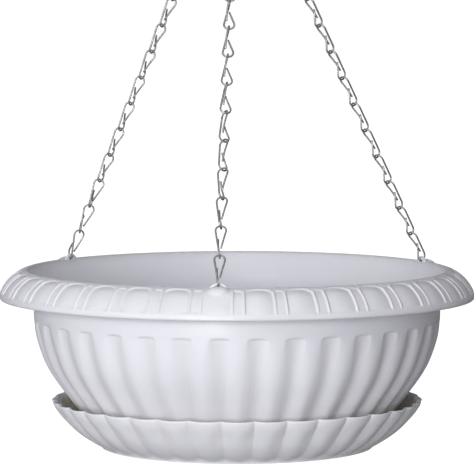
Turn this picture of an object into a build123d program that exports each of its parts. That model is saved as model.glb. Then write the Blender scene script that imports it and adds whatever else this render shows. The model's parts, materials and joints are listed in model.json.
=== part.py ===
from build123d import *
import os
from math import sin, cos, tan, atan2, acos, radians, degrees, sqrt

os.makedirs("parts", exist_ok=True)

# Hanging basket: a wire hook, a joining ring, three strands of single jack
# chain, a moulded bowl with a rolled rim, and a push-on drip saucer.
# Frame: +Z up, origin on the hook's hanging seat (inside top of its bend).
# Lengths are millimetres. The front strand stands on the -Y side.

# ---- driving dimensions ------------------------------------------------
hook_wire_r = 1.6          # hook wire radius
hook_bend_r = 12.6         # centreline radius of the top bend
hook_flare_r = 8.0         # outward flare beside the mouth
hook_swan_z = -14.0        # where the swan neck starts
hook_neck_z = -34.0        # where the swan neck reaches the axis
hook_shank_z = -42.0       # lower end of the shank, top of the eye
eye_r = 6.0                # centreline radius of the hook's eye

ring_wire_r = 1.25         # joining ring wire radius
ring_r = 10.0              # joining ring centreline radius
ring_seats = {"front": -3.4, "left": 0.2, "right": 3.0}  # strands on the ring

link_wire_r = 0.6          # chain wire radius
link_bend_r = 3.2          # centreline radius of a link's end bends
link_pitch = 18.8          # pitch of the chain
link_gap = 0.25            # slack left at each contact
upper_tail = 11.8          # reach of each free leg, measured along the shank
lower_tail = 8.6
upper_nip = 1.6            # free end to shank, centre to centre
lower_nip = 1.4
links_per_strand = 16

rim_outer_r = 150.0        # widest radius of the rolled rim
wall = 1.9                 # moulded wall thickness
drain_hole_r = 4.0
drain_pcd_r = 50.0
drain_count = 6

lug_r = 132.5              # radius of the middle of each chain lug
lug_width = 12.0
lug_thick = 1.8
lug_height = 2.9           # above the rim's crest
lug_bar = 1.1              # height of the bar over the chain hole
lug_hole_w = 4.3
lug_clear = 1.35           # bar centre to the chain wire's near side
boss_r, boss_z = 139.3, -1.9           # middle of the blister outside a lug
boss_half = (6.2, 2.3, 2.7)            # its half width, depth and height
lug_azimuth = {"front": -90.0, "right": 30.0, "left": 150.0}

peg_r = 7.0                # bowl peg that the saucer pushes onto
peg_gap = 0.4

# heading of each link's upper bow, from its lug end to its ring end
bow_heading = {
    "front": (4.7, 2, -7, -22, -44, -60, -74, -82, -85, -87, -98, -112, -128,
              -146, -163, -180),
    "left": (24, 8, -9) + (-25,) * 8 + (-20, -14, -8, -4, 0),
    "right": (139.7,) * 10 + (146, 152, 158, 165, 172, 180),
}

# ---- derived heights ---------------------------------------------------
eye_z = hook_shank_z - eye_r                      # eye centre
ring_z = eye_z - eye_r + hook_wire_r + ring_wire_r + link_gap - ring_r
half_link = link_pitch / 2.0 + link_wire_r + link_gap / 2.0
bar_r = lug_bar / 2.0
bar_rise = lug_height - bar_r                     # bar centre over the crest
strand_len = (links_per_strand * link_pitch + 2.0 * link_wire_r + link_gap
              - (lug_clear + link_wire_r)
              - (ring_wire_r + link_wire_r + link_gap))
crest_z = (ring_z - ring_r) - sqrt(strand_len ** 2 - lug_r ** 2) - bar_rise


def lifted(points):
    """Profile points given against the rim's crest, in the row frame."""
    return [(r, crest_z + z) for r, z in points]


# ---- hook --------------------------------------------------------------
# One wire: open tip, top bend, swan neck, shank and a closed eye.
bend_z = hook_wire_r - hook_bend_r
swan_half = atan2(hook_bend_r, hook_swan_z - hook_neck_z)
swan_r = (hook_swan_z - hook_neck_z) / (2.0 * sin(2.0 * swan_half))
flare = radians(50.0)
flare_c = -hook_bend_r - hook_flare_r
with BuildPart() as hook:
    with BuildLine(Plane.XZ) as hook_path:
        lip_end = (flare_c + hook_flare_r * cos(flare),
                   bend_z - hook_flare_r * sin(flare))
        Line((lip_end[0] - 3.0 * sin(flare), lip_end[1] - 3.0 * cos(flare)),
             lip_end)
        ThreePointArc(lip_end,
                      (flare_c + hook_flare_r * cos(flare / 2),
                       bend_z - hook_flare_r * sin(flare / 2)),
                      (-hook_bend_r, bend_z))
        ThreePointArc((-hook_bend_r, bend_z), (0, bend_z + hook_bend_r),
                      (hook_bend_r, bend_z))
        Line((hook_bend_r, bend_z), (hook_bend_r, hook_swan_z))
        mid = (hook_bend_r / 2.0, (hook_swan_z + hook_neck_z) / 2.0)
        ThreePointArc((hook_bend_r, hook_swan_z),
                      (hook_bend_r - swan_r + swan_r * cos(swan_half),
                       hook_swan_z - swan_r * sin(swan_half)), mid)
        ThreePointArc(mid,
                      (swan_r - swan_r * cos(swan_half),
                       hook_neck_z + swan_r * sin(swan_half)),
                      (0, hook_neck_z))
        Line((0, hook_neck_z), (0, hook_shank_z))
    hook_wire = hook_path.wire()
    with BuildSketch(Plane(origin=hook_wire @ 0, z_dir=hook_wire % 0)):
        Circle(hook_wire_r)
    sweep(path=hook_wire)
    with BuildSketch(Plane.XY.offset(eye_z)):
        with Locations((eye_r, 0)):
            Circle(hook_wire_r)
    revolve(axis=Axis((0, 0, eye_z), (0, 1, 0)))
    tip_face = hook.faces().sort_by(Axis.X)[0]
    chamfer(tip_face.edges(), 0.5)
hook.part.label = "hook"
export_step(hook.part, "parts/hook.step")

# ---- joining ring ------------------------------------------------------
# Closed wire ring that hangs in the hook's eye and carries the strands.
with BuildPart() as connector_ring:
    with BuildSketch(Plane.XY.offset(ring_z)):
        with Locations((0, ring_r)):
            Circle(ring_wire_r)
    revolve(axis=Axis((0, 0, ring_z), (1, 0, 0)))
connector_ring.part.label = "connector_ring"
export_step(connector_ring.part, "parts/connector_ring.step")

# ---- blister that shields each lug's chain hole ------------------------
with BuildPart() as boss_form:
    Sphere(1.0)
    scale(by=boss_half)

# ---- bowl --------------------------------------------------------------
# Revolved shell: rolled rim, steep band, rounded side, flat base, push-on
# peg, drain holes, and three chain lugs on the rim's inner edge.
crest_r = 133.0
rim_outer = [(crest_r, 0.0), (136.1, -0.72), (140.15, -2.8), (144.0, -5.98),
             (147.2, -9.85), (149.28, -13.86), (rim_outer_r, -17.0)]
rim_under = [(148.1, -17.0), (147.3, -14.2), (145.4, -10.9), (142.6, -7.7),
             (139.2, -5.0), (136.2, -3.4)]
side_outer = [(134.2, -3.6), (131.2, -9.0), (129.4, -16.0), (129.1, -22.0),
              (129.3, -30.0), (127.7, -40.0), (125.0, -50.0), (121.1, -60.0),
              (114.9, -70.0), (107.1, -80.0), (99.3, -90.0), (91.5, -98.0),
              (84.5, -103.4)]
side_inner = [(82.4, -102.0), (90.0, -96.4), (97.8, -88.6), (105.6, -78.8),
              (113.3, -69.0), (119.3, -59.3), (123.1, -49.6), (125.8, -39.8),
              (127.4, -30.0), (127.2, -22.0), (127.5, -15.6), (129.3, -8.4),
              (131.6, -3.2)]
base_z = -106.0
floor_z = -104.0
with BuildPart() as bowl:
    with BuildSketch(Plane.XZ) as bowl_section:
        with BuildLine() as bowl_line:
            Spline(lifted(rim_outer))
            Polyline(lifted([rim_outer[-1], (149.7, -18.9), (149.1, -19.3),
                             (148.3, -19.1), rim_under[0]]))
            Spline(lifted(rim_under))
            Line(*lifted([rim_under[-1], side_outer[0]]))
            Spline(lifted(side_outer))
            Spline(lifted([side_outer[-1], (80.6, -105.4), (77.0, base_z)]))
            Polyline(lifted([(77.0, base_z), (0.0, base_z), (0.0, floor_z),
                             (75.5, floor_z)]))
            Spline(lifted([(75.5, floor_z), (79.0, -103.6), side_inner[0]]))
            Spline(lifted(side_inner))
            Spline(lifted([side_inner[-1], (131.7, -0.9), rim_outer[0]]))
        make_face()
    revolve(axis=Axis.Z)
    with BuildSketch(Plane.XY.offset(crest_z + base_z)):
        Circle(peg_r)
    extrude(amount=-3.1)
    with BuildSketch(Plane.XY.offset(crest_z + base_z - 3.1)):
        Circle(peg_r - 1.6)
    extrude(amount=3.1, mode=Mode.SUBTRACT)
    with BuildSketch(Plane.XY.offset(crest_z + floor_z)):
        with PolarLocations(drain_pcd_r, drain_count, start_angle=30):
            Circle(drain_hole_r)
    extrude(amount=-3.0, mode=Mode.SUBTRACT)
    for name, azimuth in lug_azimuth.items():
        radial = Vector(cos(radians(azimuth)), sin(radians(azimuth)), 0)
        tangent = Vector(-sin(radians(azimuth)), cos(radians(azimuth)), 0)
        seat = radial * (lug_r - lug_thick / 2.0) + Vector(0, 0, crest_z)
        lug_plane = Plane(origin=seat, x_dir=tangent, z_dir=radial)
        # local y runs up, since z_dir x x_dir = up
        with BuildSketch(lug_plane):
            with BuildLine():
                up = 1.0 if lug_plane.y_dir.Z > 0 else -1.0
                h = lug_height * up
                Polyline((lug_width / 2, 0), (lug_width / 2, -3.0 * up),
                         (-lug_width / 2, -3.0 * up), (-lug_width / 2, 0))
                Spline((-lug_width / 2, 0), (-lug_width * 0.36, h * 0.5),
                       (-lug_width * 0.2, h * 0.92), (0, h),
                       (lug_width * 0.2, h * 0.92), (lug_width * 0.36, h * 0.5),
                       (lug_width / 2, 0))
            make_face()
        extrude(amount=lug_thick)
        with BuildSketch(lug_plane.offset(-2.0)):
            with BuildLine():
                w = lug_hole_w / 2
                top = (lug_height - lug_bar) * up
                Polyline((-w, top - 1.2 * up), (-w, -0.9 * up), (w, -0.9 * up),
                         (w, top - 1.2 * up))
                ThreePointArc((w, top - 1.2 * up), (0, top),
                              (-w, top - 1.2 * up))
            make_face()
        extrude(amount=lug_thick + 3.0, mode=Mode.SUBTRACT)
        boss_plane = Plane(origin=radial * boss_r
                           + Vector(0, 0, crest_z + boss_z),
                           x_dir=tangent, z_dir=Vector(0, 0, 1))
        with Locations(boss_plane.location):
            add(boss_form.part)
bowl.part.label = "bowl"
export_step(bowl.part, "parts/bowl.step")

# ---- saucer ------------------------------------------------------------
# Wide shallow dish with a foot ring and a blind socket for the bowl's peg.
dish_outer = [(117.5, -83.5), (116.6, -85.6), (114.4, -89.3), (109.6, -95.0),
              (103.8, -101.0), (96.4, -106.7), (89.6, -110.6)]
dish_inner = [(87.6, -109.0), (94.8, -105.2), (102.3, -99.6), (108.1, -93.7),
              (112.8, -88.2), (114.7, -85.2), (115.8, -83.5)]
with BuildPart() as saucer:
    with BuildSketch(Plane.XZ):
        with BuildLine():
            Spline(lifted(dish_outer))
            Polyline(lifted([dish_outer[-1], (87.0, -111.4), (86.6, -112.5),
                             (84.0, -112.5), (83.6, -111.5), (0.0, -111.5),
                             (0.0, -109.7), (84.6, -109.7), dish_inner[0]]))
            Spline(lifted(dish_inner))
            Line(*lifted([dish_inner[-1], dish_outer[0]]))
        make_face()
    revolve(axis=Axis.Z)
    with BuildSketch(Plane.XY.offset(crest_z - 109.8)):
        Circle(peg_r + peg_gap + 2.2)
        Circle(peg_r + peg_gap, mode=Mode.SUBTRACT)
    extrude(amount=3.4)
saucer.part.label = "saucer"
export_step(saucer.part, "parts/saucer.step")

# ---- chain link --------------------------------------------------------
# One bent wire: an upper bow and a lower bow in planes a quarter turn
# apart, joined by a straight shank; each free leg returns to the shank.
# Link frame: z along the chain, origin half way between the two contacts.
ex = Vector(1, 0, 0)
lean = 0.15
for step in range(60):
    d = Vector(lean, -lean, -1).normalized()
    n = d.cross(ex).normalized()
    rise = (Vector(0, 0, 1) - n * Vector(0, 0, 1).dot(n)).normalized()
    bow_c = Vector(0, 0, half_link) - rise * link_bend_r
    m = (ex - d * ex.dot(d)).normalized()
    shank_top = bow_c - m * link_bend_r
    foot = shank_top + d * (shank_top.Z / -d.Z)
    lean += 0.02 * (foot.Y - foot.X) / 2.0
def half_loop(tail, nip):
    """Free end, start of the bow and its middle, for one end of the link."""
    reach = sqrt(tail ** 2 + (nip - link_bend_r) ** 2)
    swing = atan2(nip - link_bend_r, tail) + acos(link_bend_r / reach)
    mid = (swing + radians(270.0)) / 2.0
    return (shank_top + d * tail + m * nip,
            bow_c + d * (link_bend_r * cos(swing)) + m * (link_bend_r * sin(swing)),
            bow_c + d * (link_bend_r * cos(mid)) + m * (link_bend_r * sin(mid)))


def turned(p):
    """The link's own symmetry: it maps the upper bow onto the lower one."""
    return Vector(p.Y, p.X, -p.Z)


upper_end, upper_leg, upper_mid = half_loop(upper_tail, upper_nip)
lower_end, lower_leg, lower_mid = [turned(p) for p in
                                   half_loop(lower_tail, lower_nip)]

with BuildPart() as link_form:
    with BuildLine() as link_path:
        Line(upper_end, upper_leg)
        ThreePointArc(upper_leg, upper_mid, shank_top)
        Line(shank_top, turned(shank_top))
        ThreePointArc(turned(shank_top), lower_mid, lower_leg)
        Line(lower_leg, lower_end)
    link_wire = link_path.wire()
    with BuildSketch(Plane(origin=link_wire @ 0, z_dir=link_wire % 0)):
        Circle(link_wire_r)
    sweep(path=link_wire)

# ---- strands -----------------------------------------------------------
# Each strand runs straight from its lug's bar to its seat on the ring.
for name, azimuth in lug_azimuth.items():
    radial = Vector(cos(radians(azimuth)), sin(radians(azimuth)), 0)
    bar = radial * lug_r + Vector(0, 0, crest_z + bar_rise)
    y = ring_seats[name]
    seat = Vector(0, y, ring_z - sqrt(ring_r ** 2 - y ** 2))
    u = (seat - bar).normalized()
    span = (seat - bar).length
    slack = (span + (lug_clear + link_wire_r)
             + (ring_wire_r + link_wire_r + link_gap)
             - 2.0 * half_link) / (links_per_strand - 1)
    first = bar - u * (lug_clear + link_wire_r) + u * half_link
    for k in range(links_per_strand):
        heading = radians(bow_heading[name][k])
        h = Vector(cos(heading), sin(heading), 0)
        side = (h - u * h.dot(u)).normalized()
        link_plane = Plane(origin=first + u * (slack * k), x_dir=side, z_dir=u)
        label = f"{name}_link_{k + 1:02d}"
        with BuildPart() as link:
            with Locations(link_plane.location):
                add(link_form.part)
        link.part.label = label
        export_step(link.part, f"parts/{label}.step")

print("crest height", round(crest_z, 3), "strand pitch", round(slack, 3))
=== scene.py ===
import json
from math import sin, cos, tan, pi, sqrt, radians, degrees, atan2, acos, exp, floor

import bpy
import numpy as np
from mathutils import Vector, Matrix
from mathutils.geometry import delaunay_2d_cdt


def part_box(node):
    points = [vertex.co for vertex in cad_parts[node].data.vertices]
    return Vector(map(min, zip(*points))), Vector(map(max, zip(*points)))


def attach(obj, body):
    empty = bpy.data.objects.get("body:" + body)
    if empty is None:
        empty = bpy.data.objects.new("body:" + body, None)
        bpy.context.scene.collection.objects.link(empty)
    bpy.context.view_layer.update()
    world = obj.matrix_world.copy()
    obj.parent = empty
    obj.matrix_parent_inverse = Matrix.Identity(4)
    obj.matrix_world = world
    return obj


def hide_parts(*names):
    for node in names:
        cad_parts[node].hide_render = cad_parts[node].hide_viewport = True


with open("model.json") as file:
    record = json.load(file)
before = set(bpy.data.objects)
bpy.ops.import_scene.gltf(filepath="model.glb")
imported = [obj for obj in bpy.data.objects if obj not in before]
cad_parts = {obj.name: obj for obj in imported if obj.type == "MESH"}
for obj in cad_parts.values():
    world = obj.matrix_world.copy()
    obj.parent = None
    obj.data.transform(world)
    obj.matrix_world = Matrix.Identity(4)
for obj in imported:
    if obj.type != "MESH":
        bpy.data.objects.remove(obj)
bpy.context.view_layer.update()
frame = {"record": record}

MM = 0.001

# the rim's crest: the lugs' tops stand 2.9 mm over it
LUG_R, LUG_TOP, LUG_BAR, LUG_CLEAR = 132.5, 2.9, 1.1, 1.35
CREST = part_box("bowl")[1][2] - LUG_TOP * MM
VIEW_TURN = radians(4.7)


# ---------------------------------------------------------------- camera
def place_camera():
    dist, elev, focal_px, aim = 2.200, radians(5.05), 3474.0, 0.0228
    cam = bpy.data.cameras.new("camera")
    cam.sensor_fit = "HORIZONTAL"
    cam.sensor_width = 36.0
    cam.lens = 36.0 * focal_px / 474.0
    cam.clip_start = 0.1
    cam.clip_end = 60.0
    ob = bpy.data.objects.new("camera", cam)
    bpy.context.scene.collection.objects.link(ob)
    ob.location = (dist * cos(elev) * sin(VIEW_TURN), -dist * cos(elev) * cos(VIEW_TURN),
                   CREST + dist * sin(elev))
    target = Vector((0, 0, CREST + aim))
    ob.rotation_euler = (target - ob.location).to_track_quat("-Z", "Y").to_euler()
    bpy.context.scene.camera = ob
    return ob


camera = place_camera()


# ------------------------------------------------------------- utilities
def link_object(name, mesh):
    ob = bpy.data.objects.new(name, mesh)
    bpy.context.scene.collection.objects.link(ob)
    return ob


def make_mesh(name, verts, faces, smooth=True, attrs=None, sharp=None):
    me = bpy.data.meshes.new(name)
    me.from_pydata([tuple(v) for v in verts], [], faces)
    me.validate()
    if smooth:
        me.polygons.foreach_set("use_smooth", [True] * len(me.polygons))
    if attrs:
        for key, values in attrs.items():
            at = me.attributes.new(key, "FLOAT", "POINT")
            at.data.foreach_set("value", np.asarray(values, dtype=np.float32))
    me.update()
    return me


def smoothstep(lo, hi, x):
    t = np.clip((x - lo) / (hi - lo), 0.0, 1.0)
    return t * t * (3.0 - 2.0 * t)


def resample(points, step):
    """Points about `step` apart along a polyline."""
    p = np.array(points, dtype=float)
    seg = np.sqrt((np.diff(p, axis=0) ** 2).sum(1))
    s = np.concatenate([[0], np.cumsum(seg)])
    n = max(2, int(round(s[-1] / step)) + 1)
    t = np.linspace(0, s[-1], n)
    return np.stack([np.interp(t, s, p[:, 0]), np.interp(t, s, p[:, 1])], 1)


def smooth_curve(points, per=12):
    """Catmull-Rom curve through the points, as a dense polyline."""
    p = [np.array(q, dtype=float) for q in points]
    p = [2 * p[0] - p[1]] + p + [2 * p[-1] - p[-2]]
    out = []
    for i in range(1, len(p) - 2):
        a, b, c, d = p[i - 1], p[i], p[i + 1], p[i + 2]
        ta, tb, tc = (np.linalg.norm(q - r) ** 0.5 for q, r in ((b, a), (c, b), (d, c)))
        for k in range(per):
            t = k / per
            m1 = (c - b) + tb * ((b - a) / ta - (c - a) / (ta + tb))
            m2 = (c - b) + tb * ((d - c) / tc - (d - b) / (tb + tc))
            out.append((2 * t ** 3 - 3 * t ** 2 + 1) * b + (t ** 3 - 2 * t ** 2 + t) * m1
                       + (-2 * t ** 3 + 3 * t ** 2) * c + (t ** 3 - t ** 2) * m2)
    out.append(p[-2])
    return np.array(out)


def arc_len(p):
    return np.concatenate([[0], np.cumsum(np.sqrt((np.diff(p, axis=0) ** 2).sum(1)))])


def curve_normals(p):
    """Unit normals of an (r, z) polyline, to the left of its direction."""
    d = np.gradient(p, axis=0)
    d /= np.linalg.norm(d, axis=1)[:, None]
    return np.stack([-d[:, 1], d[:, 0]], 1)


PERIOD = 10.0                       # degrees from one egg to the next
FLUTE_PERIOD = 360.0 / 35           # degrees from one flute to the next


def period_offset(theta_deg, period=PERIOD):
    """Signed angle from the nearest egg or flute centre."""
    return (theta_deg + period / 2) % period - period / 2


class Lathe:
    """Rings of points, joined into one closed skin. Angle 0 faces -Y."""

    def __init__(self):
        self.v, self.cav, self.tone, self.f = [], [], [], []
        self.at = {}

    def ring(self, angles_deg, r, z, cav=None, tone=0.0):
        # cav darkens the spot with dust and painted shade; the last argument is a colour gain per point, painted
        # light and shade
        a = np.radians(angles_deg)
        r = np.broadcast_to(r, a.shape)
        z = np.broadcast_to(z, a.shape)
        start = len(self.v)
        self.at[start] = np.array(angles_deg, dtype=float)
        self.v.extend(zip(r * np.sin(a) * MM, -r * np.cos(a) * MM, CREST + z * MM))
        self.cav.extend(np.broadcast_to(0.0 if cav is None else cav, a.shape))
        self.tone.extend(np.broadcast_to(tone, a.shape))
        return start, len(a)

    def join(self, a, b):
        """Skins two rings; either may have a whole multiple of the other's points."""
        (sa, na), (sb, nb) = a, b
        if na == nb:
            for i in range(na):
                j = (i + 1) % na
                self.f.append((sa + i, sa + j, sb + j, sb + i))
        elif max(na, nb) % min(na, nb):
            ta = np.append(self.at[sa], self.at[sa][0] + 360.0)
            tb = np.append(self.at[sb], self.at[sb][0] + 360.0)
            i = j = 0
            while i < na or j < nb:
                if j == nb or (i < na and ta[i + 1] <= tb[j + 1]):
                    self.f.append((sa + i % na, sa + (i + 1) % na, sb + j % nb))
                    i += 1
                else:
                    self.f.append((sa + i % na, sb + (j + 1) % nb, sb + j % nb))
                    j += 1
        elif na > nb:
            k = na // nb
            for i in range(nb):
                j = (i + 1) % nb
                fine = [sa + (i * k + q) % na for q in range(k + 1)]
                self.f.append(tuple(fine) + (sb + j, sb + i))
        else:
            k = nb // na
            for i in range(na):
                j = (i + 1) % na
                fine = [sb + (i * k + q) % nb for q in range(k + 1)]
                self.f.append((sa + i, sa + j) + tuple(reversed(fine)))

    def disc(self, ring, z, holes=(), up=False):
        """Flat face across a ring, with round holes. Returns the hole rings."""
        s, n = ring
        outer = [Vector(self.v[s + i][:2]) for i in range(n)]
        pts = list(outer)
        loops = [list(range(n))]
        hole_rings = []
        for cx, cy, cr, cn in holes:
            loop = []
            for q in range(cn):
                t = 2 * pi * q / cn
                loop.append(len(pts))
                pts.append(Vector(((cx + cr * cos(t)) * MM, (cy + cr * sin(t)) * MM)))
            loops.append(loop)
        base = len(pts)
        edges = []
        for loop in loops:
            edges += [(loop[i], loop[(i + 1) % len(loop)]) for i in range(len(loop))]
        res = delaunay_2d_cdt(pts, edges, [], 1, 1e-7)
        out_v, out_f, orig = res[0], res[2], res[3]
        index = {}
        for i, o in enumerate(orig):
            if o:
                index[i] = o[0]
        newidx = {}
        start = len(self.v)
        for loop in loops[1:]:
            hs = len(self.v)
            for q in loop:
                newidx[q] = len(self.v)
                self.v.append((pts[q][0], pts[q][1], CREST + z * MM))
                self.cav.append(0.0)
                self.tone.append(0.0)
            hole_rings.append((hs, len(loop)))
        for q in range(n):
            newidx[q] = s + q
        for tri in out_f:
            c = sum((out_v[q] for q in tri), Vector((0, 0))) / len(tri)
            if any((c[0] - hx * MM) ** 2 + (c[1] - hy * MM) ** 2 < (hr * MM * 0.98) ** 2
                   for hx, hy, hr, _ in holes):
                continue
            idx = [newidx[index[q]] for q in tri]
            if not up:
                idx.reverse()
            self.f.append(tuple(idx))
        return hole_rings

    def build(self, name):
        return make_mesh(name, self.v, self.f, attrs={"hollow": self.cav, "tone": self.tone})


# ------------------------------------------------------------------ bowl
def rim_curve():
    """Outside of the rolled rim, crest to widest part."""
    n = 1.6
    u = np.linspace(0, pi / 2, 400)
    return np.stack([133.0 + 17.0 * np.sin(u) ** (2 / n), -17.0 * (1 - np.cos(u) ** (2 / n))], 1)


def egg_relief(a, s, total):
    """Height over the roll's plain surface, in mm, and how much the spot is darkened: dust plus painted shade.

    a: degrees from the egg's centre; s: mm down the roll from the crest."""
    aa = np.abs(a)
    lip = total - 5.0                                   # where the plain lip band starts
    edge = 3.36                                         # half the egg's width
    arch = np.clip(1 - (aa / edge) ** 2.2, 0, 1) ** 0.5
    top = 2.5 + 5.6 * (1 - arch)
    # the egg itself
    inside = smoothstep(0.0, 0.6, s - top) * smoothstep(0.0, 0.17, edge - aa) \
        * smoothstep(0.0, 0.8, lip - s)
    rise = np.clip((s - top) / 8.0, 0, 1)
    swell = np.sin(rise * pi / 2) ** 1.2
    dome = -0.72 + 0.98 * swell * (1 - (aa / (edge + 0.1)) ** 2)
    # the channel between two bars
    b = 5.0 - aa                                        # degrees from the pair's centre
    chan = smoothstep(0.0, 0.2, 1.06 - b) * smoothstep(0.0, 0.8, s - 4.6) \
        * smoothstep(0.0, 0.8, lip - s)
    chan_h = -0.46 + 0.22 * smoothstep(5, 14, s)
    # each bar is rounded across
    bar_c = 1.35
    bar = np.clip(1 - ((b - bar_c) / 0.30) ** 2, 0, 1) ** 0.5
    bar_h = -0.12 + 0.52 * bar * smoothstep(3.6, 6.5, s)
    lip_h = 0.08 + 0.2 * smoothstep(lip - 0.3, lip + 0.6, s)
    h = np.where(s > lip, lip_h, np.where((b > 1.0) & (b < 1.7), bar_h, 0.06))
    h = h * (1 - inside) + dome * inside
    h = h * (1 - chan) + chan_h * chan
    # dust and painted shade: darkest at the egg's top under the arch, and in the channel
    hollow = inside * (1 - swell * (1 - (aa / (edge + 0.2)) ** 2)) + chan * 0.45
    return h, np.clip(hollow, 0, 1)


def blister(theta_deg, s):
    """Rounded swelling on the roll outside each lug, and how far it smooths the egg away."""
    best, flat = np.zeros_like(theta_deg), np.zeros_like(theta_deg)
    for az in LUG_AZIMUTH.values():
        d = (theta_deg - (az + 90.0) + 180.0) % 360.0 - 180.0
        x = d / 2.62
        down = (s - 4.6) / (4.2 if s < 4.6 else 4.9)
        bump = np.clip(1 - np.abs(x) ** 2.6 - abs(down) ** 2.2, 0, 1) ** 0.62
        best = np.maximum(best, 2.0 * bump)
        flat = np.maximum(flat, smoothstep(0, 0.35, 3.75 - np.abs(d)) * (1 - 0.55 * smoothstep(9, 15, np.float64(s))))
    return best, flat


def seat_dip(theta_deg, s):
    """Shallow saddle in the crest under each lug's bar, where the chain's wire passes."""
    dip = np.zeros_like(theta_deg)
    for az in LUG_AZIMUTH.values():
        d = np.abs((theta_deg - (az + 90.0) + 180.0) % 360.0 - 180.0)
        dip = np.maximum(dip, 1 - smoothstep(1.1, 2.6, d))
    return 0.62 * dip * (1 - smoothstep(1.4, 3.2, np.float64(s)))


def flute_relief(a, z):
    """Depth of the fluting under the smooth band, and how much the spot is darkened: dust plus painted shade."""
    aa = np.abs(a)
    down = -30.7 - z                                    # mm below the flutes' tops
    half = 2.85 + 0.55 * smoothstep(0, 45, down)
    x = np.clip(aa / half, 0, 1)
    arch = 1.3 * (1 - np.sqrt(np.clip(1 - x ** 2.6, 0, 1)))
    start = smoothstep(0.0, 1.5, down - arch)
    crisp = 1 - x ** 2.4
    soft = 0.5 + 0.5 * np.cos(pi * x)
    blend = smoothstep(0, 14, down)
    shape = crisp * (1 - blend) * 0.85 + (0.35 * crisp + 0.65 * soft) * blend
    depth = 1.75 * (1 - 0.25 * smoothstep(40, 75, down))
    edge = FLUTE_PERIOD / 2
    ridge = 0.62 * (1 - np.clip((edge - aa) / (edge - half), 0, 1) ** 2) \
        * smoothstep(0.5, 9, down) * (1 - 0.5 * smoothstep(50, 80, down))
    h = -depth * shape * start + ridge * (aa > half)
    # dust and painted shade, deepest in the middle of each flute
    return h, np.clip(shape * start, 0, 1) * 0.8


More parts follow.
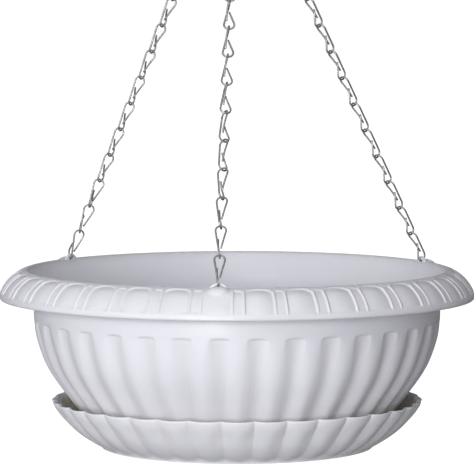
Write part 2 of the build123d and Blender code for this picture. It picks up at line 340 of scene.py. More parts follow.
def build_bowl():
    lathe = Lathe()
    # finer columns where the bars and the flutes' edges are
    half_offs = np.concatenate([np.linspace(0, 2.8, 7, endpoint=False),
                                np.linspace(2.8, 5.0, 17, endpoint=False)])
    offs = np.concatenate([[-5.0], -half_offs[::-1], half_offs[1:]])
    fine = np.concatenate([k * PERIOD + offs for k in range(36)])
    coarse = fine[::8]
    half_offs = np.array([0, 0.9, 1.7, 2.3, 2.6, 2.8, 3.0, 3.2, 3.45, 3.8, 4.4])
    offs = np.concatenate([[-FLUTE_PERIOD / 2], -half_offs[::-1], half_offs[1:]])
    mid = np.concatenate([k * FLUTE_PERIOD + offs for k in range(35)])

    # outside of the roll
    roll = rim_curve()
    s = arc_len(roll)
    total = s[-1] + 2.0
    s_rows = np.concatenate([[0.7, 1.5, 2.2], np.linspace(2.7, 8.8, 13),
                             np.linspace(9.8, s[-1] - 4.4, 7),
                             np.linspace(s[-1] - 3.6, s[-1], 7)])
    nrm = curve_normals(roll)
    nrm *= np.sign((nrm[200] * np.array([1, 1])).sum())
    a, a_mid = period_offset(fine), period_offset(mid, FLUTE_PERIOD)
    rows = []
    for q in s_rows:
        r0, z0 = np.interp(q, s, roll[:, 0]), np.interp(q, s, roll[:, 1])
        nr, nz = np.interp(q, s, nrm[:, 0]), np.interp(q, s, nrm[:, 1])
        h, cav = egg_relief(a, q, total)
        bump, flat = blister(fine, q)
        h = h * (1 - flat) + 0.06 * flat + bump * smoothstep(1.0, 3.0, np.float64(q)) - seat_dip(fine, q)
        cav = cav * (1 - flat)
        # painted shade: the roll's outside is a little darker in colour
        rows.append(lathe.ring(fine, r0 + nr * h, z0 + nz * h, cav, tone=-0.06))
    # lip turns under, then up inside the roll
    lip = [(150.25, -17.2), (150.05, -17.8), (149.6, -18.25), (148.9, -18.4), (148.3, -18.0)]
    under = [(148.0, -16.9), (147.3, -14.2), (145.4, -10.9), (142.6, -7.7), (139.2, -5.2),
             (136.4, -4.6), (134.6, -5.6), (133.2, -8.0)]
    # painted shade: the lip is a little darker in colour too
    lip_rings = [lathe.ring(coarse, r, z, tone=-0.06) for r, z in lip]
    under_rings = [lathe.ring(coarse, r, z) for r, z in under]
    # the crest, rounded over to the inner wall
    crest = [(133.6, 0.02), (133.0, 0.05), (132.4, -0.12), (131.9, -0.55), (131.6, -1.2),
             (131.45, -2.2)]
    # painted shadow: the darkening values per ring (up to 3.6) paint a thin dark line along the crest's inner edge
    crest_rings = [lathe.ring(coarse, r, z - seat_dip(coarse, 0.0) * w, c) for (r, z), c, w in
                   zip(crest, (0.0, 0.4, 2.6, 3.6, 2.3, 0.4), (1, 1, 1, 1, 0.5, 0))]
    inner = smooth_curve([(131.45, -2.2), (130.9, -4.0), (129.0, -8.4), (127.0, -15.6), (126.6, -22.0),
                          (126.7, -30.0), (125.0, -39.8), (122.3, -49.6), (118.6, -59.3),
                          (112.6, -69.0), (104.9, -78.8), (97.1, -88.6), (89.4, -96.4),
                          (82.0, -101.7), (78.6, -103.5), (75.0, -104.0)])
    inner = resample(inner, 4.0)[1:]
    # painted light: the inner wall is a little lighter in colour
    inner_rings = [lathe.ring(coarse, r, z, tone=0.04) for r, z in inner]

    # outside wall: plain band, then flutes
    wall = smooth_curve([(133.2, -8.0), (130.8, -11.5), (129.2, -16.0), (128.6, -22.0),
                         (128.6, -30.0), (127.1, -40.0), (124.3, -50.0), (120.2, -60.0),
                         (114.0, -70.0), (106.4, -80.0), (98.7, -90.0), (91.2, -98.0),
                         (84.5, -103.4), (80.6, -105.3), (77.0, -106.0)], per=24)
    wn = curve_normals(wall)
    wn *= np.sign(wn[len(wn) // 2][0])
    ws = arc_len(wall)
    s_at = lambda z: np.interp(-z, -wall[:, 1], ws)
    s_list = np.concatenate([np.linspace(s_at(-8.6), s_at(-19.0), 2),
                             [s_at(-21.0), s_at(-22.6), s_at(-26.0), s_at(-29.6)],
                             np.linspace(s_at(-30.4), s_at(-34.6), 9),
                             np.linspace(s_at(-36.2), ws[-1] - 0.01, 22)])
    wall_rings = []
    for q in s_list:
        r0, z0 = np.interp(q, ws, wall[:, 0]), np.interp(q, ws, wall[:, 1])
        nr, nz = np.interp(q, ws, wn[:, 0]), np.interp(q, ws, wn[:, 1])
        fade = 1 - smoothstep(ws[-1] - 9.0, ws[-1] - 2.0, q)
        h, cav = flute_relief(a_mid, z0)
        # painted shadow: a dark line on the wall just under the lip
        under = 1.6 * (1 - smoothstep(20.5, 22.4, -z0))
        # less of the darkening (dust and painted shade) low on the wall
        low_wall_fade = 1 - 0.7 * smoothstep(62, 84, -z0)
        wall_rings.append(lathe.ring(mid, r0 + nr * h * fade, z0 + nz * h * fade,
                                     cav * fade * low_wall_fade + under,
                                     # painted light: the low wall gets lighter in colour towards the base
                                     tone=0.10 * smoothstep(64, 84, -z0)))

    # skin, in order: crest -> roll -> lip -> underside -> wall -> base
    seq = list(reversed(crest_rings)) + rows + lip_rings + under_rings + wall_rings
    for p, q in zip(seq, seq[1:]):
        lathe.join(q, p)
    holes = [(50.0 * cos(radians(30 + 60 * k)), 50.0 * sin(radians(30 + 60 * k)), 4.0, 24)
             for k in range(6)]
    base_ring = lathe.ring(coarse, 75.0, -106.0)
    lathe.join(base_ring, wall_rings[-1])
    low_holes = lathe.disc(base_ring, -106.0, holes, up=False)
    # inner skin: crest down to the floor
    seq = [crest_rings[-1]] + inner_rings
    for p, q in zip(seq, seq[1:]):
        lathe.join(p, q)
    high_holes = lathe.disc(inner_rings[-1], -104.0, holes, up=True)
    for lo, hi in zip(low_holes, high_holes):
        lathe.join(lo, hi)
    me = lathe.build("bowl_shell")
    ob = link_object("bowl_shell", me)
    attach(ob, "bowl")
    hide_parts("bowl")
    return ob


def extrude_outline(name, outer, hole, origin, x_dir, y_dir, z_dir, thick, round_mm=0.45, steps=3):
    """A plate with one hole: rounded edges all round. Outlines in mm."""
    def shrink(loop, d):
        p = np.array(loop)
        n = len(p)
        t = np.roll(p, -1, 0) - np.roll(p, 1, 0)
        t /= np.linalg.norm(t, axis=1)[:, None]
        nn = np.stack([-t[:, 1], t[:, 0]], 1)
        return p + nn * d
    verts, faces = [], []
    levels = []
    for k in range(steps + 1):
        t = (pi / 2) * k / steps
        levels.append((round_mm * (1 - sin(t)), round_mm * (1 - cos(t))))
    prof = [(d, w) for d, w in levels]                 # inset, depth below the face
    stack = [(ins, thick - dep) for ins, dep in [(i, j) for i, j in prof]]
    # from the front face's edge round to the back face's edge
    ring_spec = [(round_mm * (1 - sin(t)), thick / 2 - round_mm * (1 - cos(t)))
                 for t in []]
    spec = []
    for k in range(steps + 1):
        t = (pi / 2) * k / steps
        spec.append((round_mm * (1 - sin(t)), thick / 2 - round_mm * (1 - cos(t))))
    for k in range(steps, -1, -1):
        t = (pi / 2) * k / steps
        spec.append((round_mm * (1 - sin(t)), -(thick / 2 - round_mm * (1 - cos(t)))))

    def put(loop, w):
        s = len(verts)
        for x, y in loop:
            verts.append(origin + x_dir * (x * MM) + y_dir * (y * MM) + z_dir * (w * MM))
        return s
    n_o, n_h = len(outer), len(hole)
    o_rings = [put(shrink(outer, ins), w) for ins, w in spec]
    h_rings = [put(shrink(hole, -ins), w) for ins, w in spec]
    for rings, n, flip in ((o_rings, n_o, False), (h_rings, n_h, True)):
        for p, q in zip(rings, rings[1:]):
            for i in range(n):
                j = (i + 1) % n
                f = (p + i, q + i, q + j, p + j)
                faces.append(f if not flip else tuple(reversed(f)))
    for which, flip in ((0, False), (-1, True)):
        o, h = o_rings[which], h_rings[which]
        loop_o = shrink(outer, spec[which][0])
        loop_h = shrink(hole, -spec[which][0])
        pts = [Vector(p) for p in loop_o] + [Vector(p) for p in loop_h]
        edges = [(i, (i + 1) % n_o) for i in range(n_o)] \
            + [(n_o + i, n_o + (i + 1) % n_h) for i in range(n_h)]
        res = delaunay_2d_cdt(pts, edges, [], 1, 1e-7)
        poly = np.array(loop_h)
        for tri in res[2]:
            c = sum((res[0][q] for q in tri), Vector((0, 0))) / 3
            # inside the hole?
            x, y = c
            odd = False
            for i in range(n_h):
                (x1, y1), (x2, y2) = poly[i], poly[(i + 1) % n_h]
                if (y1 > y) != (y2 > y) and x < (x2 - x1) * (y - y1) / (y2 - y1) + x1:
                    odd = not odd
            if odd:
                continue
            idx = []
            for q in tri:
                k = res[3][q][0]
                idx.append(o + k if k < n_o else h + k - n_o)
            faces.append(tuple(idx) if not flip else tuple(reversed(idx)))
    return make_mesh(name, verts, faces)


def build_lugs():
    made = []
    for name, az in (("front", -90.0), ("right", 30.0), ("left", 150.0)):
        a = radians(az)
        radial = Vector((cos(a), sin(a), 0))
        tangent = Vector((-sin(a), cos(a), 0))
        up = Vector((0, 0, 1))
        origin = radial * (LUG_R * MM) + Vector((0, 0, CREST))
        # local x along the rim, y up; outline runs anticlockwise seen from outside
        top = [(6.3, -0.9), (5.6, 0.25), (4.7, 1.05), (3.6, 1.85), (2.6, 2.45), (1.4, 2.8),
               (0, LUG_TOP), (-1.4, 2.8), (-2.6, 2.45), (-3.6, 1.85), (-4.7, 1.05), (-5.6, 0.25),
               (-6.3, -0.9)]
        curve = smooth_curve(top, per=4)
        outline = [tuple(p) for p in curve] + [(-6.3, -2.4), (0, -2.4), (6.3, -2.4)]
        hole = []
        w, h0, h1 = 2.15, -0.85, LUG_TOP - LUG_BAR - 1.2
        for k in range(17):
            t = pi * k / 16
            hole.append((w * cos(t), h1 + 1.2 * sin(t)))
        hole += [(-w, h0 + 0.15), (-w + 0.15, h0), (w - 0.15, h0), (w, h0 + 0.15)]
        me = extrude_outline(f"lug_{name}", outline, hole, origin, tangent, up, radial, 1.8)
        ob = link_object(f"lug_{name}", me)
        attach(ob, "bowl")
        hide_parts("bowl")
        made.append(ob)
    return made


def build_peg():
    """Hollow peg under the base, which the saucer pushes onto."""
    lathe = Lathe()
    ang = np.linspace(0, 360, 48, endpoint=False)
    prof = [(5.4, -105.6), (7.0, -105.6), (7.0, -108.7), (6.85, -108.95), (6.6, -109.1),
            (5.75, -109.1), (5.5, -108.95), (5.4, -108.7)]
    rings = [lathe.ring(ang, r, z) for r, z in prof]
    for p, q in zip(rings, rings[1:] + rings[:1]):
        lathe.join(p, q)
    ob = link_object("bowl_peg", lathe.build("bowl_peg"))
    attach(ob, "bowl")
    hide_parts("bowl")
    return ob


# ---------------------------------------------------------------- saucer
LOBES = 36
LOBE_PHASE = 0.0


def build_saucer():
    lathe = Lathe()
    per = 16
    step = 360.0 / LOBES
    offs = np.linspace(-0.5, 0.5, per, endpoint=False)
    offs = np.sign(offs) * 0.5 * (1 - (1 - 2 * np.abs(offs)) ** 1.25)
    ang = np.concatenate([(k + offs) * step for k in range(LOBES)]) + LOBE_PHASE + step / 2
    x = np.abs(((ang - LOBE_PHASE) / step) % 1.0 - 0.5) * 2       # 0 at a lobe's middle, 1 in a valley

    def lobe(amp, q=0.0):
        """Pointed valleys at the lip, rounder ones down the flank."""
        soft = 0.7 * smoothstep(2.0, 14.0, q)
        return -amp * ((0.72 * x ** 2 + 0.28 * x ** 6) * (1 - soft)
                       + (0.5 - 0.5 * np.cos(pi * x)) * soft)

    outer = smooth_curve([(117.4, -83.6), (116.4, -85.6), (114.0, -89.3), (109.1, -95.0),
                          (103.1, -101.0), (95.5, -106.7), (88.6, -110.6), (86.8, -111.6)], per=16)
    on = curve_normals(outer)
    on *= np.sign(on[len(on) // 2][0])
    os_ = arc_len(outer)
    rows = []
    first = True
    for q in np.linspace(0, os_[-1], 26):
        r0, z0 = np.interp(q, os_, outer[:, 0]), np.interp(q, os_, outer[:, 1])
        nr, nz = np.interp(q, os_, on[:, 0]), np.interp(q, os_, on[:, 1])
        amp = 2.1 - 1.1 * smoothstep(8, 30, q)
        fade = 1 - smoothstep(os_[-1] - 3.5, os_[-1] - 0.4, q)
        h = lobe(amp, q) * fade
        w = smoothstep(0.0, 7.0, q)                        # level at the lip, square to the flank below
        nr, nz = 1 - w + w * nr, w * nz
        lift = 0.45 * x ** 2 * np.exp(-q / 3.0)
        # darker in the lobes' valleys and towards the foot, in the saucer's silt colour
        rows.append(lathe.ring(ang, r0 + nr * h, z0 + nz * h + lift,
                               (0.34 * x ** 5 + 0.25 * smoothstep(28, 38, q)) * fade))
    # foot ring and underside
    foot = [(86.7, -112.1), (86.4, -112.45), (85.9, -112.5), (84.4, -112.5), (83.9, -112.3),
            (83.6, -111.7), (82.8, -111.5), (60.0, -111.5)]
    foot_rings = [lathe.ring(ang, r, z) for r, z in foot]
    # over the lip and down inside
    inner = smooth_curve([(115.9, -83.75), (115.0, -85.6), (112.9, -88.9), (108.2, -94.2),
                          (102.4, -100.0), (94.9, -105.6), (88.2, -109.2), (84.0, -109.7)], per=16)
    inn = curve_normals(inner)
    inn *= np.sign(inn[len(inn) // 2][0])
    is_ = arc_len(inner)
    lip = [(117.45, -83.25, 0), (117.1, -82.98, 0), (116.7, -82.92, 0), (116.3, -83.0, 0),
           (116.0, -83.3, 0)]
    lip_rings = [lathe.ring(ang, r + lobe(2.1), z + 0.45 * x ** 2) for r, z, _ in lip]
    inner_rings = []
    for q in np.linspace(0, is_[-1], 18):
        r0, z0 = np.interp(q, is_, inner[:, 0]), np.interp(q, is_, inner[:, 1])
        nr, nz = np.interp(q, is_, inn[:, 0]), np.interp(q, is_, inn[:, 1])
        amp = 2.1 - 1.1 * smoothstep(8, 30, q)
        fade = 1 - smoothstep(is_[-1] - 4.5, is_[-1] - 0.4, q)
        h = lobe(amp, q) * fade
        lift = 0.45 * x ** 2 * np.exp(-q / 3.0)
        w = smoothstep(0.0, 7.0, q)
        nr, nz = 1 - w + w * nr, w * nz
        silt_and_shade = 3.6 * smoothstep(0.0, 4.0, q)              # dried-silt tint below the lip, made darker as painted shade of the dish's inside
        inner_rings.append(lathe.ring(ang, r0 + nr * h, z0 + nz * h + lift, silt_and_shade))
    # painted shade with a silt tint on the dish's floor
    floor_rings = [lathe.ring(ang, 60.0, -109.7, 3.0)]
    seq = list(reversed(lip_rings)) + rows + foot_rings
    for p, q in zip(seq, seq[1:]):
        lathe.join(q, p)
    lathe.disc(foot_rings[-1], -111.5, (), up=False)
    seq = [lip_rings[-1]] + inner_rings + floor_rings
    for p, q in zip(seq, seq[1:]):
        lathe.join(p, q)
    lathe.disc(floor_rings[-1], -109.7, (), up=True)
    ob = link_object("saucer_dish", lathe.build("saucer_dish"))
    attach(ob, "saucer")
    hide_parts("saucer")

    hub = Lathe()
    a48 = np.linspace(0, 360, 48, endpoint=False)
    prof = [(7.4, -109.9), (7.4, -106.7), (7.6, -106.45), (7.9, -106.4), (9.2, -106.4),
            (9.5, -106.5), (9.6, -106.8), (9.6, -109.9)]
    rings = [hub.ring(a48, r, z) for r, z in prof]
    for p, q in zip(rings, rings[1:] + rings[:1]):
        hub.join(q, p)
    hb = link_object("saucer_socket", hub.build("saucer_socket"))
    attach(hb, "saucer")
    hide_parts("saucer")
    return ob, hb


# ---------------------------------------------------------------- chains
def tube(path, radius, sides=12, closed=False, cap=True):
    """Verts and faces of a wire swept along points (metres)."""
    p = [Vector(q) for q in path]
    n = len(p)
    tang = []
    for i in range(n):
        if closed:
            d = p[(i + 1) % n] - p[i - 1]
        else:
            d = p[min(i + 1, n - 1)] - p[max(i - 1, 0)]
        tang.append(d.normalized())
    ref = Vector((0, 0, 1))
    if abs(tang[0].dot(ref)) > 0.9:
        ref = Vector((1, 0, 0))
    nv = (ref - tang[0] * ref.dot(tang[0])).normalized()
    frames = []
    for i in range(n):
        nv = (nv - tang[i] * nv.dot(tang[i])).normalized()
        frames.append((nv.copy(), tang[i].cross(nv)))
    verts, faces = [], []
    ring_starts = []

    def ring(c, u, v, r):
        s = len(verts)
        for k in range(sides):
            t = 2 * pi * k / sides
            verts.append(c + u * (r * cos(t)) + v * (r * sin(t)))
        ring_starts.append(s)
    if cap and not closed:
        for k in (0.35, 0.75):
            ring(p[0] - tang[0] * radius * 0.45 * (1 - k), frames[0][0], frames[0][1],
                 radius * (0.62 + 0.38 * k))
    for i in range(n):
        ring(p[i], frames[i][0], frames[i][1], radius)
    if cap and not closed:
        for k in (0.75, 0.35):
            ring(p[-1] + tang[-1] * radius * 0.45 * (1 - k), frames[-1][0], frames[-1][1],
                 radius * (0.62 + 0.38 * k))
    m = len(ring_starts)
    for i in range(m if closed else m - 1):
        a, b = ring_starts[i], ring_starts[(i + 1) % m]
        for k in range(sides):
            j = (k + 1) % sides
            faces.append((a + k, a + j, b + j, b + k))
    if not closed:
        faces.append(tuple(range(ring_starts[0] + sides - 1, ring_starts[0] - 1, -1)))
        faces.append(tuple(range(ring_starts[-1], ring_starts[-1] + sides)))
    return verts, faces


LINK_WIRE, LINK_BEND, PITCH, GAP = 0.6, 3.2, 18.8, 0.25
HALF = PITCH / 2 + LINK_WIRE + GAP / 2
UPPER_TAIL, UPPER_NIP = 11.8, 1.6       # reach of each free leg, and how near the shank it ends
LOWER_TAIL, LOWER_NIP = 8.6, 1.4
N_LINKS = 16


def link_path():
    """One chain link's wire, in its own frame: z along the chain, mm."""
    ex = Vector((1, 0, 0))
    lean = 0.15
    for _ in range(60):
        d = Vector((lean, -lean, -1)).normalized()
        n = d.cross(ex).normalized()
        zz = Vector((0, 0, 1))
        rise = (zz - n * zz.dot(n)).normalized()
        bow_c = Vector((0, 0, HALF)) - rise * LINK_BEND
        m = (ex - d * ex.dot(d)).normalized()
        shank_top = bow_c - m * LINK_BEND
        foot = shank_top + d * (shank_top.z / -d.z)
        lean += 0.02 * (foot.y - foot.x) / 2
    flip = lambda q: Vector((q.y, q.x, -q.z))

    def half(tail, nip):
        reach = sqrt(tail ** 2 + (nip - LINK_BEND) ** 2)
        swing = atan2(nip - LINK_BEND, tail) + acos(LINK_BEND / reach)
        free_end = shank_top + d * tail + m * nip
        leg = bow_c + d * (LINK_BEND * cos(swing)) + m * (LINK_BEND * sin(swing))
        drift = Vector((0, d.y * 0.55 * tail, 0))
        pts = [free_end + (leg - free_end) * t - drift * (1 - t) ** 2
               for t in (0, 0.15, 0.3, 0.45, 0.6, 0.75, 0.9)]
        for k in range(25):
            t = swing + (radians(270) - swing) * k / 24
            pts.append(bow_c + d * (LINK_BEND * cos(t)) + m * (LINK_BEND * sin(t)))
        return pts

    upper = half(UPPER_TAIL, UPPER_NIP)
    lower = [flip(q) for q in reversed(half(LOWER_TAIL, LOWER_NIP))]
    a, b = upper[-1], lower[0]
    shank = [a + (b - a) * t for t in (0.2, 0.4, 0.6, 0.8)]
    return upper + shank + lower


BODY_OF = {node: body for body, nodes in frame["record"]["behaviour"]["bodies"].items()
           for node in nodes}
RING_SEATS = {"front": -3.4, "left": 0.2, "right": 3.0}
LUG_AZIMUTH = {"front": -90.0, "right": 30.0, "left": 150.0}
BOW_HEADING = {
    "front": (4.7, 2, -7, -22, -44, -60, -74, -82, -85, -87, -98, -112, -128, -146, -163, -180),
    "left": (24, 8, -9) + (-25,) * 8 + (-20, -14, -8, -4, 0),
    "right": (139.7,) * 10 + (146, 152, 158, 165, 172, 180),
}
HOOK_WIRE, EYE_R, RING_WIRE, RING_R = 1.6, 6.0, 1.25, 10.0
EYE_Z = -48.0
RING_Z = EYE_Z - EYE_R + HOOK_WIRE + RING_WIRE + GAP - RING_R


def build_chains():
    made = []
    path = link_path()
    crest = CREST / MM
    for name, az in LUG_AZIMUTH.items():
        a = radians(az)
        radial = Vector((cos(a), sin(a), 0))
        bar = radial * LUG_R + Vector((0, 0, crest + LUG_TOP - LUG_BAR / 2))
        y = RING_SEATS[name]
        seat = Vector((0, y, RING_Z - sqrt(RING_R ** 2 - y * y)))
        u = (seat - bar).normalized()
        span = (seat - bar).length
        step = (span + (LUG_CLEAR + LINK_WIRE) + (RING_WIRE + LINK_WIRE + GAP)
                - 2 * HALF) / (N_LINKS - 1)
        first = bar - u * (LUG_CLEAR + LINK_WIRE) + u * HALF
        for k in range(N_LINKS):
            hd = radians(BOW_HEADING[name][k])
            h = Vector((cos(hd), sin(hd), 0))
            side = (h - u * h.dot(u)).normalized()
            yd = u.cross(side)
            c = first + u * (step * k)
            pts = [(c + side * q.x + yd * q.y + u * q.z) * MM for q in path]
            v, f = tube(pts, LINK_WIRE * MM, sides=10)
            label = f"{name}_link_{k + 1:02d}"
            ob = link_object(f"{label}_wire", make_mesh(f"{label}_wire", v, f))
            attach(ob, BODY_OF[label])
            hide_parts(label)
            made.append(ob)
    return made


def build_hook_and_ring():
    bend_r, flare_r, swan_z, neck_z, shank_z = 12.6, 8.0, -14.0, -34.0, -42.0
    bz = HOOK_WIRE - bend_r
    half = atan2(bend_r, swan_z - neck_z)
    sr = (swan_z - neck_z) / (2 * sin(2 * half))
    fl = radians(50)
    fc = -bend_r - flare_r
    pts = []
    ex, ez = fc + flare_r * cos(fl), bz - flare_r * sin(fl)
    for t in (1.0, 0.66, 0.33):
        pts.append((ex - 3.0 * sin(fl) * t, ez - 3.0 * cos(fl) * t))
    for k in range(12):
        t = fl * (1 - k / 12)
        pts.append((fc + flare_r * cos(t), bz - flare_r * sin(t)))
    for k in range(48):
        t = pi - pi * k / 48
        pts.append((bend_r * cos(t), bz + bend_r * sin(t)))
    pts.append((bend_r, bz))
    for k in range(16):
        t = 2 * half * k / 16
        pts.append((bend_r - sr + sr * cos(t), swan_z - sr * sin(t)))
    for k in range(16):
        t = 2 * half * (1 - k / 16)
        pts.append((sr - sr * cos(t), neck_z + sr * sin(t)))
    # down the shank to the eye's top; the eye itself is a closed loop of its own
    for k in range(4):
        pts.append((0, neck_z + (shank_z - neck_z) * k / 4))
    pts.append((0, shank_z))
    path = [Vector((x * MM, 0, z * MM)) for x, z in pts]
    v, f = tube(path, HOOK_WIRE * MM, sides=20)
    hook = link_object("hook_wire", make_mesh("hook_wire", v, f))
    eye = [Vector((EYE_R * MM * sin(t), 0, (EYE_Z + EYE_R * cos(t)) * MM))
           for t in np.linspace(0, 2 * pi, 64, endpoint=False)]
    v, f = tube(eye, HOOK_WIRE * MM, sides=20, closed=True)
    eye_ob = link_object("hook_eye", make_mesh("hook_eye", v, f))
    ring = [Vector((0, RING_R * MM * sin(t), (RING_Z + RING_R * cos(t)) * MM))
            for t in np.linspace(0, 2 * pi, 80, endpoint=False)]
    v, f = tube(ring, (RING_WIRE - 0.08) * MM, sides=18, closed=True)
    ring_ob = link_object("ring_wire", make_mesh("ring_wire", v, f))
    for ob, body, node in ((hook, "hook", "hook"), (eye_ob, "hook", "hook"),
                           (ring_ob, "ring", "connector_ring")):
        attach(ob, body)
        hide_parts(node)
    return hook, eye_ob, ring_ob


# ------------------------------------------------------------- materials
def new_material(name):
    mat = bpy.data.materials.new(name)
    mat.use_nodes = True
    nt = mat.node_tree
    nt.nodes.clear()
    out = nt.nodes.new("ShaderNodeOutputMaterial")
    bsdf = nt.nodes.new("ShaderNodeBsdfPrincipled")
    nt.links.new(bsdf.outputs["BSDF"], out.inputs["Surface"])
    return mat, nt, bsdf


def node(nt, kind, **values):
    nd = nt.nodes.new(kind)
    for key, val in values.items():
        if hasattr(nd, key):
            setattr(nd, key, val)
        else:
            nd.inputs[key].default_value = val
    return nd


def ramp(nt, stops):
    nd = nt.nodes.new("ShaderNodeValToRGB")
    els = nd.color_ramp.elements
    while len(els) > 1:
        els.remove(els[-1])
    els[0].position, els[0].color = stops[0][0], stops[0][1]
    for pos, col in stops[1:]:
        e = els.new(pos)
        e.color = col
    return nd


def grey(v, a=1.0):
    return (v, v, v, a)


def plastic(name, light, shade, dust_and_shade, rough=0.36, seed=0.0):
    """Moulded polypropylene: faint flow marks, fine grain, hollows darkened with dust and painted shade, and a
    per-point gain of painted light and shade.
    """
    mat, nt, bsdf = new_material(name)
    co = node(nt, "ShaderNodeTexCoord")
    shift = node(nt, "ShaderNodeMapping")
    shift.inputs["Location"].default_value = (seed, seed * 0.7, -seed)
    nt.links.new(co.outputs["Object"], shift.inputs["Vector"])
    broad = node(nt, "ShaderNodeTexNoise", Scale=14.0, Detail=3.0, Roughness=0.55)
    nt.links.new(shift.outputs["Vector"], broad.inputs["Vector"])
    tint = ramp(nt, [(0.32, shade), (0.62, light)])
    nt.links.new(broad.outputs["Fac"], tint.inputs["Fac"])
    # hollows of the relief hold a little dust and are darkened further as painted shade; the same mix paints shadow
    # lines at the crest and under the lip
    hol = node(nt, "ShaderNodeAttribute", attribute_name="hollow")
    speck = node(nt, "ShaderNodeTexNoise", Scale=420.0, Detail=4.0, Roughness=0.7)
    nt.links.new(shift.outputs["Vector"], speck.inputs["Vector"])
    # painted light and shade: a per-point gain makes the colour darker on the roll's outside and lip, and lighter on
    # the inner wall and low wall
    tone = node(nt, "ShaderNodeAttribute", attribute_name="tone")
    gain = node(nt, "ShaderNodeMath", operation="ADD")
    nt.links.new(tone.outputs["Fac"], gain.inputs[0])
    gain.inputs[1].default_value = 1.0
    lit_tint = node(nt, "ShaderNodeVectorMath", operation="SCALE")
    nt.links.new(tint.outputs["Color"], lit_tint.inputs[0])
    nt.links.new(gain.outputs[0], lit_tint.inputs["Scale"])
    mul = node(nt, "ShaderNodeMath", operation="MULTIPLY")
    nt.links.new(hol.outputs["Fac"], mul.inputs[0])
    nt.links.new(speck.outputs["Fac"], mul.inputs[1])
    amount = node(nt, "ShaderNodeMath", operation="MULTIPLY")
    nt.links.new(mul.outputs[0], amount.inputs[0])
    amount.inputs[1].default_value = 0.45
    mix = node(nt, "ShaderNodeMix", data_type="RGBA")
    nt.links.new(amount.outputs[0], mix.inputs[0])
    nt.links.new(lit_tint.outputs["Vector"], mix.inputs[6])
    mix.inputs[7].default_value = dust_and_shade
    nt.links.new(mix.outputs[2], bsdf.inputs["Base Color"])
    # roughness: patches a little shinier where hands have rubbed
    rmap = node(nt, "ShaderNodeMapRange")
    rmap.inputs["From Min"].default_value = 0.3
    rmap.inputs["From Max"].default_value = 0.7
    rmap.inputs["To Min"].default_value = rough - 0.05
    rmap.inputs["To Max"].default_value = rough + 0.07
    patch = node(nt, "ShaderNodeTexNoise", Scale=48.0, Detail=4.0, Roughness=0.6)
    nt.links.new(shift.outputs["Vector"], patch.inputs["Vector"])
    nt.links.new(patch.outputs["Fac"], rmap.inputs["Value"])
    nt.links.new(rmap.outputs["Result"], bsdf.inputs["Roughness"])
    # grain of the mould, and a slow waviness of the thin wall
    grain = node(nt, "ShaderNodeTexNoise", Scale=1500.0, Detail=2.0, Roughness=0.5)
    nt.links.new(shift.outputs["Vector"], grain.inputs["Vector"])
    wave = node(nt, "ShaderNodeTexNoise", Scale=30.0, Detail=1.0, Roughness=0.4)
    nt.links.new(shift.outputs["Vector"], wave.inputs["Vector"])
    b1 = node(nt, "ShaderNodeBump", Strength=0.12, Distance=0.00008)
    nt.links.new(grain.outputs["Fac"], b1.inputs["Height"])
    b2 = node(nt, "ShaderNodeBump", Strength=0.25, Distance=0.0005)
    nt.links.new(wave.outputs["Fac"], b2.inputs["Height"])
    nt.links.new(b1.outputs["Normal"], b2.inputs["Normal"])
    nt.links.new(b2.outputs["Normal"], bsdf.inputs["Normal"])
    bsdf.inputs["IOR"].default_value = 1.49
    bsdf.inputs["Subsurface Weight"].default_value = 0.12
    bsdf.inputs["Subsurface Radius"].default_value = (1.0, 0.95, 0.9)
    bsdf.inputs["Subsurface Scale"].default_value = 0.0025
    return mat


def zinc(name, light, dark, rough, scale=1.0, seed=0.0):
    """Zinc-plated wire: dull bright metal, fine grain bump, grey bloom."""
    mat, nt, bsdf = new_material(name)
    co = node(nt, "ShaderNodeTexCoord")
    shift = node(nt, "ShaderNodeMapping")
    shift.inputs["Location"].default_value = (seed, -seed, seed * 0.5)
    nt.links.new(co.outputs["Object"], shift.inputs["Vector"])
    bloom = node(nt, "ShaderNodeTexNoise", Scale=260.0 * scale, Detail=4.0, Roughness=0.65)
    nt.links.new(shift.outputs["Vector"], bloom.inputs["Vector"])
    tint = ramp(nt, [(0.36, dark), (0.62, light)])
    nt.links.new(bloom.outputs["Fac"], tint.inputs["Fac"])
    nt.links.new(tint.outputs["Color"], bsdf.inputs["Base Color"])
    rmap = node(nt, "ShaderNodeMapRange")
    rmap.inputs["From Min"].default_value = 0.35
    rmap.inputs["From Max"].default_value = 0.65
    rmap.inputs["To Min"].default_value = rough + 0.12
    rmap.inputs["To Max"].default_value = rough - 0.06
    nt.links.new(bloom.outputs["Fac"], rmap.inputs["Value"])
    nt.links.new(rmap.outputs["Result"], bsdf.inputs["Roughness"])
    bsdf.inputs["Metallic"].default_value = 1.0
    fine = node(nt, "ShaderNodeTexNoise", Scale=2600.0 * scale, Detail=3.0, Roughness=0.6)
    nt.links.new(shift.outputs["Vector"], fine.inputs["Vector"])
    bmp = node(nt, "ShaderNodeBump", Strength=0.3, Distance=0.00006)
    nt.links.new(fine.outputs["Fac"], bmp.inputs["Height"])
    nt.links.new(bmp.outputs["Normal"], bsdf.inputs["Normal"])
    return mat


def paint(ob, *mats):
    ob.data.materials.clear()
    for m in mats:
        ob.data.materials.append(m)


# ------------------------------------------------------------------ make
bowl = build_bowl()
lugs = build_lugs()
peg = build_peg()
saucer, socket = build_saucer()
links = build_chains()
hook, eye, ring = build_hook_and_ring()

bowl_mat = plastic("bowl_plastic", (0.812, 0.812, 0.875, 1), (0.785, 0.785, 0.85, 1),
                   (0.60, 0.59, 0.60, 1))
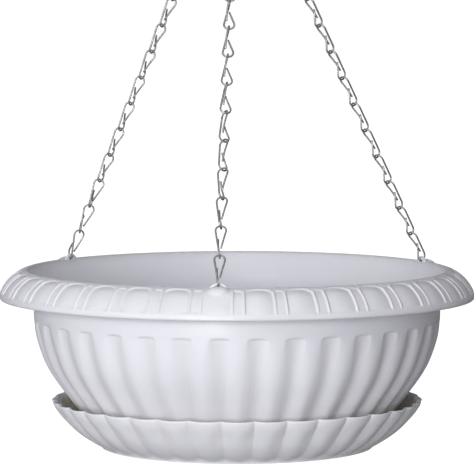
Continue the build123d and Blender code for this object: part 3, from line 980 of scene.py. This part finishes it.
# the third colour darkens the marked spots: a silt tint and painted shade
saucer_mat = plastic("saucer_plastic", (0.835, 0.84, 0.895, 1), (0.81, 0.815, 0.87, 1),
                     (0.56, 0.51, 0.37, 1), rough=0.40, seed=3.0)
chain_mat = zinc("chain_wire", (0.50, 0.50, 0.51, 1), (0.36, 0.36, 0.37, 1), 0.46)
wire_mat = zinc("zinc_wire", (0.55, 0.55, 0.56, 1), (0.40, 0.40, 0.41, 1), 0.38, scale=0.7, seed=2.0)
for ob in [bowl, peg] + lugs:
    paint(ob, bowl_mat)
for ob in (saucer, socket):
    paint(ob, saucer_mat)
for ob in links:
    paint(ob, chain_mat)
for ob in (hook, eye, ring):
    paint(ob, wire_mat)


# ---------------------------------------------------------------- studio
def stage_plane(name, size, loc, rot, mat):
    w, h = size
    me = make_mesh(name, [(-w / 2, -h / 2, 0), (w / 2, -h / 2, 0), (w / 2, h / 2, 0),
                          (-w / 2, h / 2, 0)], [(0, 1, 2, 3)], smooth=False)
    ob = link_object(name, me)
    ob.location = loc
    ob.rotation_euler = rot
    paint(ob, mat)
    return ob


def area_light(name, loc, aim, size, power, color=(1, 1, 1), size_y=None):
    li = bpy.data.lights.new(name, "AREA")
    li.shape = "RECTANGLE"
    li.size = size
    li.size_y = size_y or size
    li.energy = power
    li.color = color
    ob = bpy.data.objects.new(name, li)
    bpy.context.scene.collection.objects.link(ob)
    ob.location = loc
    ob.rotation_euler = (Vector(aim) - Vector(loc)).to_track_quat("-Z", "Y").to_euler()
    return ob


def studio():
    t = VIEW_TURN
    right = Vector((cos(t), sin(t), 0))
    back = Vector((-sin(t), cos(t), 0))
    up = Vector((0, 0, 1))
    aim = Vector((0, 0, CREST - 0.05))
    floor_z = CREST - 0.80

    # what the camera sees: a white sweep; what lights the underside: a greyer floor
    seen, nt, bsdf = new_material("studio_sweep")
    nz = node(nt, "ShaderNodeTexNoise", Scale=1.5, Detail=2.0, Roughness=0.5)
    rp = ramp(nt, [(0.3, grey(0.90)), (0.7, grey(0.93))])
    nt.links.new(nz.outputs["Fac"], rp.inputs["Fac"])
    nt.links.new(rp.outputs["Color"], bsdf.inputs["Base Color"])
    bsdf.inputs["Roughness"].default_value = 0.9
    bsdf.inputs["Specular IOR Level"].default_value = 0.0
    bsdf.inputs["Emission Color"].default_value = (1, 1, 1, 1)
    bsdf.inputs["Emission Strength"].default_value = 1.0
    sweep = stage_plane("studio_sweep", (40, 40), (0, 12, floor_z), (0, 0, 0), seen)
    sweep.visible_diffuse = sweep.visible_glossy = sweep.visible_transmission = False
    sweep.visible_shadow = False

    dim, nt, bsdf = new_material("studio_floor")
    nz = node(nt, "ShaderNodeTexNoise", Scale=2.0, Detail=2.0, Roughness=0.5)
    rp = ramp(nt, [(0.3, grey(0.42)), (0.7, grey(0.46))])
    nt.links.new(nz.outputs["Fac"], rp.inputs["Fac"])
    nt.links.new(rp.outputs["Color"], bsdf.inputs["Base Color"])
    bsdf.inputs["Roughness"].default_value = 0.9
    low = stage_plane("studio_floor", (14, 14), (0, 0, floor_z - 0.01), (0, 0, 0), dim)
    low.visible_camera = False

    for name, az, el, size, power in LIGHTS:
        az, el = radians(az), radians(el)
        way = right * (sin(az) * cos(el)) - back * (cos(az) * cos(el)) + up * sin(el)
        area_light(name, aim + way * 2.4, aim, size, power)

    world = bpy.data.worlds.new("studio_world")
    world.use_nodes = True
    wt = world.node_tree
    wt.nodes.clear()
    out = wt.nodes.new("ShaderNodeOutputWorld")
    white, room = wt.nodes.new("ShaderNodeBackground"), wt.nodes.new("ShaderNodeBackground")
    white.inputs["Color"].default_value = (1, 1, 1, 1)
    white.inputs["Strength"].default_value = 1.0
    room.inputs["Color"].default_value = (1, 1, 1, 1)
    room.inputs["Strength"].default_value = ROOM
    path, mix = wt.nodes.new("ShaderNodeLightPath"), wt.nodes.new("ShaderNodeMixShader")
    wt.links.new(path.outputs["Is Camera Ray"], mix.inputs[0])
    wt.links.new(room.outputs[0], mix.inputs[1])
    wt.links.new(white.outputs[0], mix.inputs[2])
    wt.links.new(mix.outputs[0], out.inputs["Surface"])
    bpy.context.scene.world = world
    bpy.context.scene.view_settings.view_transform = "Standard"
    bpy.context.scene.view_settings.look = "None"


ROOM = 0.175
LIGHTS = [("key", -15, 4, 0.9, 30.0), ("key_side", -50, 8, 0.9, 9.5), ("high", -5, 35, 0.9, 7.0),
          ("fill", 35, 5, 0.9, 4.5), ("top", 0, 80, 1.0, 8.5), ("left_rim", -85, 12, 0.9, 2.3)]
studio()
